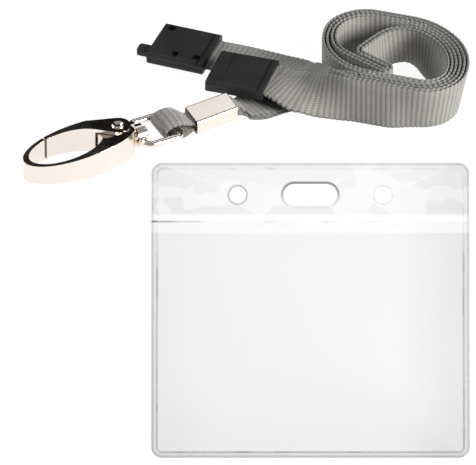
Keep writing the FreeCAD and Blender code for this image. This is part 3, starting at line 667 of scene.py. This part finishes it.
def coilFrames(runs, offset):
    frames = []
    width = webbing["width"]
    for run in runs:
        if run[0] == "line":
            _, start, turned, length = run
            steps = max(2, round(length))
            line = [(start + heading(turned) * (length * k / steps), turned) for k in range(steps)]
        else:
            _, centre, radius, begin, angle = run
            steps = max(4, round(abs(angle) / coil["degreesPerStep"]))
            side = math.copysign(90, angle)
            angles = [begin + angle * k / steps for k in range(steps)]
            line = [(centre + heading(a) * radius, a + side) for a in angles]
        for point, turned in line:
            beside = heading(turned + 90)
            foot = point + beside * offset
            shift = footShift(foot)
            across = Vector((0, 0, width)) - shift
            middle = foot + shift * 0.5 + Vector((0, 0, width / 2))
            frames.append((middle, across / width, -beside, width, webbing["thickness"], 0.0))
    return frames


# Route points hold a place, a lean and a share of the strap's width, which is less where the strap cups
socketRoute = [
    (-11.5, -19.1, 8.0, 4.0, 1.0), (-15.0, -19.0, 7.9, 14.0, 0.94), (-17.7, -18.9, 7.7, 26.0, 0.89),
    (-20.0, -18.6, 7.45, 42.0, 0.87), (-22.5, -18.2, 7.2, 60.0, 0.91),
    (-25.0, -17.7, 6.85, 71.0, 1.0), (-29.4, -16.4, 7.0, 82.0, 1.0), (-32.6, -15.3, 6.7, 88.0, 1.0),
]
plugRoute = [
    (-11.5, -17.7, 8.2, 5.0, 1.0), (-15.0, -17.2, 8.3, 15.0, 0.97), (-17.7, -16.8, 8.3, 27.0, 0.95),
    (-20.0, -15.8, 8.3, 42.0, 0.93), (-22.5, -13.8, 8.1, 60.0, 0.95),
    (-25.0, -11.8, 7.4, 71.0, 1.0), (-29.4, -8.5, 6.5, 82.0, 1.0), (-32.6, -5.8, 5.1, 88.0, 1.0),
    (-37.5, -3.6, 3.6, 90.0, 1.0), (-43.0, -2.1, 2.75, 90.0, 1.0), (-51.0, -0.8, 2.3, 90.0, 1.0),
]
hookLegRoute = [
    (-11.5, -15.7, 7.8, 5.0, 0.97), (-15.0, -15.1, 7.3, 15.0, 0.9), (-17.7, -14.7, 6.8, 27.0, 0.86),
    (-20.0, -14.3, 5.7, 42.0, 0.85), (-22.5, -13.8, 4.6, 60.0, 0.88),
    (-25.0, -12.8, 3.7, 72.0, 0.92), (-28.0, -12.0, 2.3, 84.0, 1.0), (-31.0, -12.6, 1.1, 90.0, 1.0),
    (-35.0, -16.0, 1.1, 90.0, 1.0), (-39.0, -21.4, 1.1, 90.0, 0.9), (-42.0, -25.2, 1.8, 90.0, 0.66),
]
buckle = {
    "socketMouth": Vector((-35.9, -14.4, 6.6)),
    "plugMouth": Vector((-59.2, -0.2, 2.0)),
    "socketTurn": 180.0,
    "plugTurn": 176.5,
    "grip": 8.3,
    "gripMiddle": 4.0,
    "bendBefore": 4.0,
    "bendWithin": 0.5,
}


def makeWebbing():
    width, thickness, pitch = webbing["width"], webbing["thickness"], webbing["pitch"]
    steps = webbing["stepsPerSpan"]
    pen = drawCoil()
    first, last = pen.runs[0][1], pen.point
    toLanyard = lanyardPlace.inverted() @ hookPlace
    legs = [
        ((last.x + ahead, last.y, width / 2), 0.0, width, thickness, 1.0)
        for ahead in (coil["legLead"], 0.0)
    ]
    legs += [((x, y, z), lean, width * share, thickness, 1.0) for x, y, z, lean, share in hookLegRoute]
    for end in (crimp["near"], crimp["far"]):
        level = crimp["height"] + crimp["lift"] + crimp["rise"] * (crimp["far"] - end)
        point = toLanyard @ (Vector((end, 0, level)) * mm) / mm
        legs.append((tuple(point), 90.0, crimp["width"], crimp["thickness"], crimp["pitchShare"]))
    for name, side, strand, leg in (
            ("webbingOuter", -1, "coil_strand_outer", "hook_leg_lower"),
            ("webbingInner", 1, "coil_strand_inner", "hook_leg_upper")):
        frames = coilFrames(pen.runs, side * pitch / 2) + layFrames(legs, side * pitch / 2)[steps:]
        piece = weaveStrap(name, frames, lanyardPlace)
        dress(piece, "lanyard", "grey_webbing", webbingFinish, strand, leg)

    def tail(name, route, startY, mouth, turned, body, *nodes):
        into = heading(turned)
        held = (0.0, buckle["gripMiddle"], buckle["grip"])
        points = [((first.x + ahead, startY, width / 2), 0.0, 1.0) for ahead in (coil["tailLead"], 0.0)]
        points += [((x, y, z), lean, share) for x, y, z, lean, share in route]
        points += [(tuple(mouth + into * depth), 90.0, 1.0) for depth in held]
        stations = [(point, lean, width * share, thickness, 1.0) for point, lean, share in points]
        piece = weaveStrap(name, layFrames(stations)[steps:], lanyardPlace)
        dress(piece, None, "grey_webbing", webbingFinish, *nodes)
        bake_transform(piece)

    tail("socketWebbing", socketRoute, first.y - pitch / 2, buckle["socketMouth"], buckle["socketTurn"],
         "socket", "socket_tail", "socket_strap_end")
    tail("plugWebbing", plugRoute, first.y + pitch / 2, buckle["plugMouth"], buckle["plugTurn"],
         "plug", "plug_tail", "plug_strap_end")


# Places along the hook's line and heights, from the top of the crimp round the eye and back
loop = {
    "line": [
        (-17.0, 4.3), (-15.2, 5.4), (-13.2, 6.5), (-10.6, 6.8), (-8.2, 6.1),
        (-7.0, 4.5), (-7.6, 3.0), (-9.5, 2.1), (-13.0, 1.9), (-16.2, 1.8),
    ],
    "stepsPerSpan": 8,
    "width": 10.2,
    "full": -13.0,
    "archTop": 0.9,
    "archLow": 0.2,
}


def makeStrapLoop():
    half = webbing["pitch"] * crimp["pitchShare"] / 2
    level = crimp["height"] + crimp["lift"]
    line = [(crimp["cadFar"], level + half)] + loop["line"] + [(crimp["cadFar"], level - half)]
    points = [Vector((x, 0, z)) for x, z in line]
    steps = loop["stepsPerSpan"]
    dense = [spanShape(points, k, step / steps) for k in range(len(points) - 1) for step in range(steps)]
    dense += points[-1:]
    across = Vector((0, 1, 0))
    frames = []
    for k, point in enumerate(dense):
        along = (dense[min(k + 1, len(dense) - 1)] - dense[max(k - 1, 0)]).normalized()
        share = eased(point.x, crimp["far"], loop["full"])
        width = crimp["width"] + (loop["width"] - crimp["width"]) * share
        arch = share * (loop["archTop"] if k < len(dense) / 2 else loop["archLow"])
        frames.append((point, across.copy(), along.cross(across), width, webbing["thickness"], arch))
    piece = weaveStrap("webbingLoop", frames, hookPlace)
    dress(piece, "lanyard", "grey_webbing", webbingFinish, "strap_loop")


makeWebbing()
makeStrapLoop()


bevelling = {"merge": 2e-6, "flat": 1.0, "smooth": 32.0, "faceWeight": 80}


def bevelledCopy(node, name, width, segments=3, angle=28.0):
    deselectAll()
    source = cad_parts[node]
    piece = bpy.data.objects.new(name, source.data.copy())
    piece.data.name = name
    bpy.context.scene.collection.objects.link(piece)
    editAll(
        piece,
        lambda: bpy.ops.mesh.remove_doubles(threshold=bevelling["merge"]),
        lambda: bpy.ops.mesh.dissolve_limited(angle_limit=math.radians(bevelling["flat"])))
    applyModifier(
        piece, "BEVEL", width=width * mm, segments=segments,
        limit_method="ANGLE", angle_limit=math.radians(angle),
        miter_outer="MITER_ARC", use_clamp_overlap=True, harden_normals=False)
    smoothByAngle(piece, bevelling["smooth"])
    applyModifier(piece, "WEIGHTED_NORMAL", keep_sharp=True, weight=bevelling["faceWeight"])
    return piece


# Solid, piece, body, slot, finish and bevel in millimetres
bevels = [
    ("socket_base", "socketBase", "socket", "black_plastic", plasticFinish, 0.28),
    ("socket_lid", "socketLid", "socket", "black_plastic", plasticFinish, 0.22),
    ("plug_base", "plugBase", "plug", "black_plastic", plasticFinish, 0.28),
    ("plug_lid", "plugLid", "plug", "black_plastic", plasticFinish, 0.22),
    ("swivel_eye", "swivelEye", "eye", "bright_nickel", nickelFinish, 0.3),
    ("swivel_post", "swivelPost", "hook", "bright_nickel", nickelFinish, 0.2),
    ("hook_body", "hookBody", "hook", "bright_nickel", nickelFinish, 0.32),
    ("gate", "gateArm", "gate", "bright_nickel", gateFinish, 0.3),
]


# The gate reaches closer to the nose than its solid, with room to swing past
def stretchTip(piece):
    toHook = hookPlace.inverted()
    for vertex in piece.data.vertices:
        point = toHook @ vertex.co
        point.x += gateTip["longer"] * mm * eased(point.x / mm, gateTip["from"], gateTip["end"])
        vertex.co = hookPlace @ point


def makeHardware():
    for node, name, body, slot, finish, width in bevels:
        piece = bevelledCopy(node, name, width)
        if node == "gate":
            stretchTip(piece)
        dress(piece, body, slot, finish, node)
    print("hardware:", len(bevels), "pieces")


# The pressed top of the crimp falls toward the front, and its near end is lifted by the strap
def makeCrimp():
    piece = bevelledCopy("crimp_ferrule", "crimpFerrule", crimp["bevel"])
    toHook = hookPlace.inverted()
    for vertex in piece.data.vertices:
        point = toHook @ vertex.co
        share = (point.x / mm - crimp["cadFar"]) / (crimp["cadNear"] - crimp["cadFar"])
        behind = share * (crimp["far"] - crimp["near"]) * mm
        point.x = crimp["far"] * mm - behind
        point.z -= crimp["slope"] * point.y * eased(point.z / mm, 0.0, 2 * crimp["height"])
        point.z += crimp["lift"] * mm + crimp["rise"] * behind
        vertex.co = hookPlace @ point
    dress(piece, "lanyard", "bright_nickel", satinFinish, "crimp_ferrule")
    print("crimp made")


rivet = {
    "place": Vector((6.0, -1.5, 0)),
    "radius": 1.5,
    "head": 1.9,
    "height": 8.6,
    "rise": 0.35,
    "rim": 0.55,
    "dimple": 0.4,
    "dimpleShare": 0.55,
    "bevel": 0.12,
    "bevelAngle": 30.0,
    "sides": 48,
}


def makeRivet():
    deselectAll()
    bpy.ops.mesh.primitive_cylinder_add(
        vertices=rivet["sides"], radius=rivet["radius"] * mm, depth=rivet["height"] * mm,
        location=(0, 0, rivet["height"] / 2 * mm))
    piece = bpy.context.object
    piece.name = "gateRivet"
    bpy.ops.object.transform_apply(location=True)
    bpy.ops.object.mode_set(mode="EDIT")
    bpy.ops.mesh.select_mode(type="FACE")
    bpy.ops.mesh.select_all(action="DESELECT")
    bpy.ops.object.mode_set(mode="OBJECT")
    for face in piece.data.polygons:
        face.select = face.normal.z > 0.9
    bpy.ops.object.mode_set(mode="EDIT")
    grow = rivet["head"] / rivet["radius"]
    bpy.ops.mesh.extrude_region_move(TRANSFORM_OT_translate={"value": (0, 0, 0)})
    bpy.ops.transform.resize(value=(grow, grow, 1))
    bpy.ops.mesh.extrude_region_move(TRANSFORM_OT_translate={"value": (0, 0, rivet["rise"] * mm)})
    bpy.ops.mesh.inset(thickness=rivet["rim"] * mm)
    bpy.ops.mesh.extrude_region_move(TRANSFORM_OT_translate={"value": (0, 0, -rivet["dimple"] * mm)})
    bpy.ops.transform.resize(value=(rivet["dimpleShare"], rivet["dimpleShare"], 1))
    bpy.ops.object.mode_set(mode="OBJECT")
    applyModifier(
        piece, "BEVEL", width=rivet["bevel"] * mm, segments=3,
        limit_method="ANGLE", angle_limit=math.radians(rivet["bevelAngle"]))
    piece.data.transform(hookPlace @ Matrix.Translation(rivet["place"] * mm))
    smoothByAngle(piece, bevelling["smooth"])
    dress(piece, "hook", "bright_nickel", nickelFinish, "gate_rivet")
    print("rivet made")


makeHardware()
makeCrimp()
makeRivet()
paintNode("gate_spring", steelFinish)


# Rims are solid, piece, bevel in millimetres, segments and finish
wallet = {
    "rims": [
        ("rim_bead", "rimBead", 0.22, 4, rimFinish),
        ("edge_weld", "edgeWeld", 0.1, 2, rimFinish),
        ("throat_lip", "throatLip", 0.1, 2, lipFinish),
    ],
    "sheets": [("back_sheet", backFinish), ("front_window", windowFinish), ("header_strip", headerFinish)],
    "bevelAngle": 40.0,
}


def makeWallet():
    for node, name, width, segments, finish in wallet["rims"]:
        piece = bevelledCopy(node, name, width, segments, wallet["bevelAngle"])
        dress(piece, "wallet", "clear_vinyl", finish, node)
    for node, finish in wallet["sheets"]:
        paintNode(node, finish)
    print("wallet dressed")


makeWallet()

# The spans of the room are the backward and upward parts of a direction
studio = {
    "floor": (0.035, 0.035, 0.035, 1),
    "floorSize": 8.0,
    "floorGlow": 0.95,
    "aim": Vector((0.03, 0.07, 0)),
    "key": {"place": (0.39, -0.19, 0.23), "size": (0.22, 0.2), "power": 8.4},
    "fill": {"place": (-0.4, 0.3, 0.24), "size": (0.3, 0.3), "power": 3.0},
    "world": 0.3,
    "wall": (0.02, 0.02, 0.02, 1),
    "wallBack": (0.15, 0.45),
    "wallFoot": (0.12, 0.24),
    "wallTop": (0.665, 0.72),
    "lamps": (3.4, 3.4, 3.4, 1),
    "lampsBack": (0.3, 0.5),
    "lampsFoot": (0.66, 0.72),
    "lampsTop": (0.82, 0.9),
}


def softBox(name, place, size, power):
    bpy.ops.object.light_add(type="AREA", location=place)
    lamp = bpy.context.object
    lamp.name = name
    lamp.data.shape = "RECTANGLE"
    lamp.data.size, lamp.data.size_y = size
    lamp.data.energy = power
    lamp.rotation_euler = (studio["aim"] - Vector(place)).to_track_quat("-Z", "Y").to_euler()


def makeStage():
    deselectAll()
    bpy.ops.mesh.primitive_plane_add(size=studio["floorSize"], location=(0, 0, 0))
    floor = bpy.context.object
    floor.name = "floor"
    floor.data.materials.append(surface("paleFloor", **{
        "Base Color": studio["floor"], "Roughness": 0.9, "Emission Color": (1, 1, 1, 1),
        "Emission Strength": studio["floorGlow"]}).material)
    softBox("keyRight", **studio["key"])
    softBox("fillLeft", **studio["fill"])
    # A dark wall stands at the back, below a row of lamps and the white ceiling
    room = Finish(bpy.data.worlds.new("studio"), "Background", Strength=studio["world"])
    bpy.context.scene.world = room.material
    _, back, up = room.parts(room.place("Generated"))
    wallRise = up.bounded(*studio["wallFoot"]) * (1 - up.bounded(*studio["wallTop"]))
    darkWall = back.bounded(*studio["wallBack"]) * wallRise
    lampRise = up.bounded(*studio["lampsFoot"]) * (1 - up.bounded(*studio["lampsTop"]))
    lampRow = back.bounded(*studio["lampsBack"]) * lampRise
    ceiling = room.mix(lampRow, (1, 1, 1, 1), studio["lamps"])
    room.set({"Color": room.mix(darkWall, ceiling, studio["wall"])})
    bpy.context.scene.view_settings.view_transform = "Standard"


view = {
    "aim": Vector((-0.00289, -0.07005, 0.0538)),
    "elevation": 36.0,
    "distance": 3.0,
    "lens": 769.0,
}


def makeCamera():
    up = math.radians(view["elevation"])
    data = bpy.data.cameras.new("camera")
    camera = bpy.data.objects.new("camera", data)
    bpy.context.scene.collection.objects.link(camera)
    camera.location = view["aim"] + Vector((0, -math.cos(up), math.sin(up))) * view["distance"]
    camera.rotation_euler = (math.radians(90) - up, 0, 0)
    data.lens = view["lens"]
    data.sensor_width = 36.0
    data.clip_end = 100.0
    bpy.context.scene.camera = camera


makeStage()
makeCamera()
print("scene ready")
